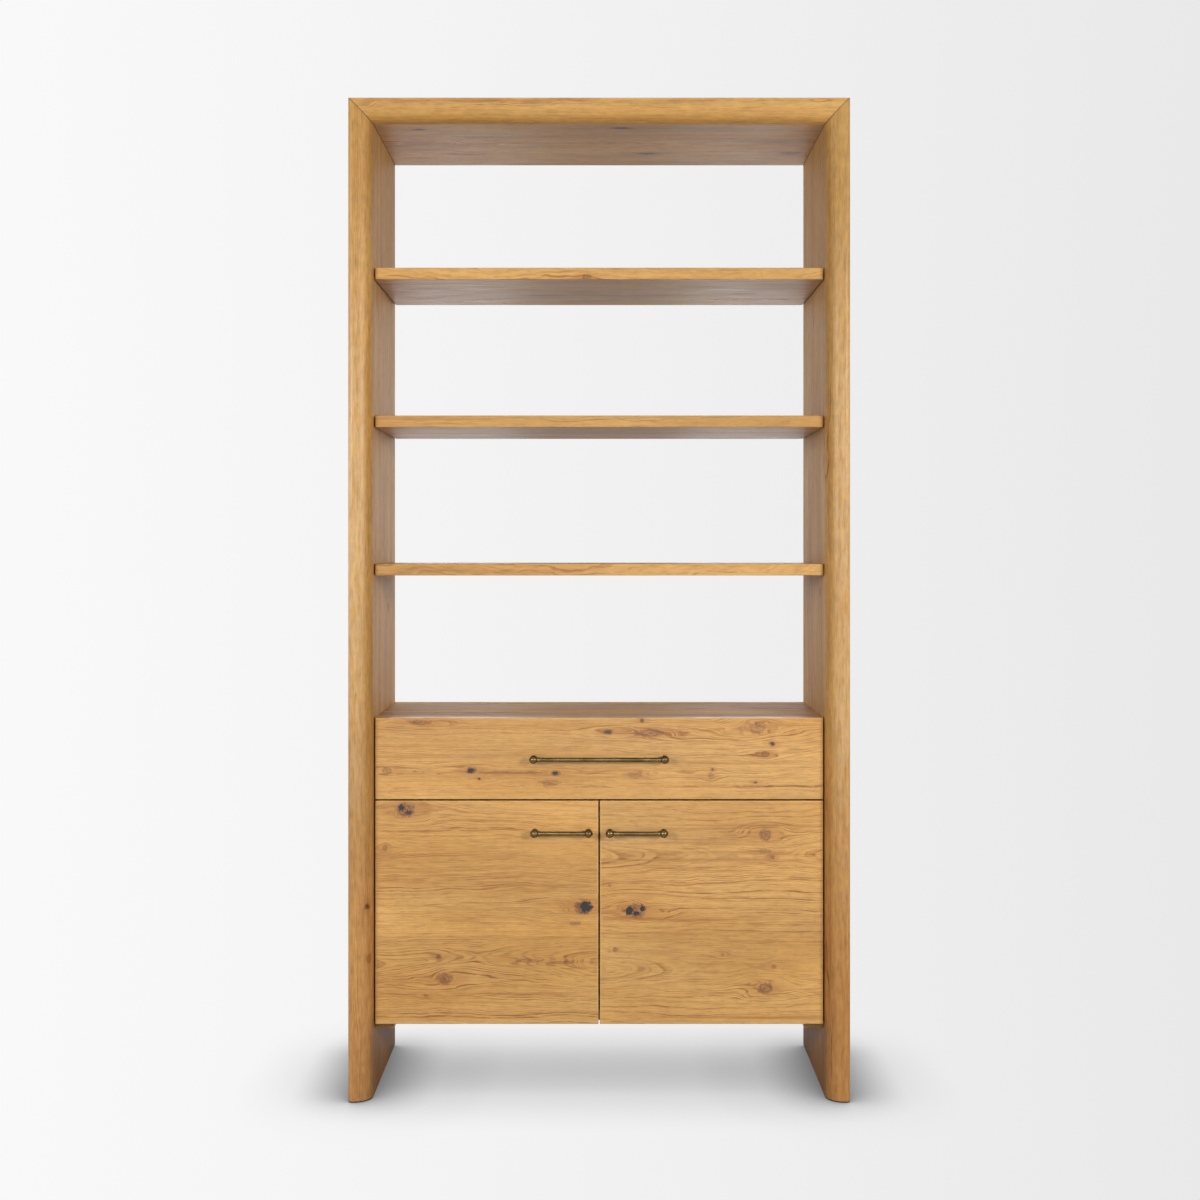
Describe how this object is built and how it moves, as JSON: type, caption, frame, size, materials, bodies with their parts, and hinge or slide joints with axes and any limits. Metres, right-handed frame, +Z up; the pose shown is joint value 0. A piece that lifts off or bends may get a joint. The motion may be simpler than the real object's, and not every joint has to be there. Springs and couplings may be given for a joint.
{
  "type": "shelving unit with doors",
  "caption": "Tall open oak bookcase with a rounded mitred frame, fixed shelves, and a closed base cabinet with a drawer over a pair of hinged doors.",
  "frame": {"origin": "on the floor under the middle of the unit", "axes": "+X right, +Y to the back, +Z up, seen from the front"},
  "size_m": [1.067, 0.406, 2.134],
  "materials": {
    "oak": "oiled, satin, knotty",
    "drawer_wood": "clear, satin",
    "aged_brass": "aged, satin",
    "steel": "zinc plated",
    "dark_plastic": "matte",
    "pad_rubber": "matte"
  },
  "bodies": {
    "frame": {"side_panel_left": "oak", "side_panel_right": "oak", "top_panel": "oak", "mitre_tongues": "drawer_wood", "shelf_upper": "oak", "shelf_middle": "oak", "shelf_lower": "oak", "shelf_dowels": "drawer_wood", "cabinet_top": "oak", "drawer_divider": "oak", "cabinet_bottom": "oak", "cabinet_back": "oak", "carcase_dowels": "drawer_wood", "bottom_cleat_left": "oak", "bottom_cleat_right": "oak", "cleat_screws": "steel", "foot_pads": "pad_rubber", "slide_outer_left": "steel", "slide_outer_right": "steel", "slide_outer_screws": "steel", "hinge_arms_left": "steel", "hinge_arms_right": "steel", "hinge_plates_left": "steel", "hinge_plates_right": "steel", "hinge_plate_screws": "steel", "door_catches": "dark_plastic"},
    "drawer": {"drawer_front": "oak", "drawer_box_front": "drawer_wood", "drawer_side_left": "drawer_wood", "drawer_side_right": "drawer_wood", "drawer_back": "drawer_wood", "drawer_bottom": "drawer_wood", "drawer_front_screws": "steel", "drawer_pull_bar": "aged_brass", "drawer_pull_posts": "aged_brass", "drawer_pull_bolts": "steel", "slide_inner_left": "steel", "slide_inner_right": "steel", "slide_inner_screws": "steel"},
    "slide_middles": {"slide_middle_left": "steel", "slide_middle_right": "steel"},
    "left_door": {"door_left": "oak", "hinge_cups_left": "steel", "hinge_pins_left": "steel", "hinge_cup_screws_left": "steel", "door_pull_bar_left": "aged_brass", "door_pull_posts_left": "aged_brass", "door_pull_bolts_left": "steel", "strike_plate_left": "steel"},
    "right_door": {"door_right": "oak", "hinge_cups_right": "steel", "hinge_pins_right": "steel", "hinge_cup_screws_right": "steel", "door_pull_bar_right": "aged_brass", "door_pull_posts_right": "aged_brass", "door_pull_bolts_right": "steel", "strike_plate_right": "steel"}
  },
  "joints": [
    {"name": "drawer_slide", "type": "slide", "parent": "frame", "child": "drawer", "axis": [0, -1, 0], "range_m": [0, 0.28]},
    {"name": "slide_middle", "type": "slide", "parent": "frame", "child": "slide_middles", "axis": [0, -1, 0], "range_m": [0, 0.14]},
    {"name": "left_door_hinge", "type": "hinge", "parent": "frame", "child": "left_door", "pos_m": [-0.46422, -0.153, 0.3955], "axis": [0, 0, -1], "range_deg": [0, 95]},
    {"name": "right_door_hinge", "type": "hinge", "parent": "frame", "child": "right_door", "pos_m": [0.46422, -0.153, 0.3955], "axis": [0, 0, 1], "range_deg": [0, 95]}
  ],
  "couplings": [
    {"joint": "slide_middle", "follows": "drawer_slide", "ratio": 0.5}
  ]
}
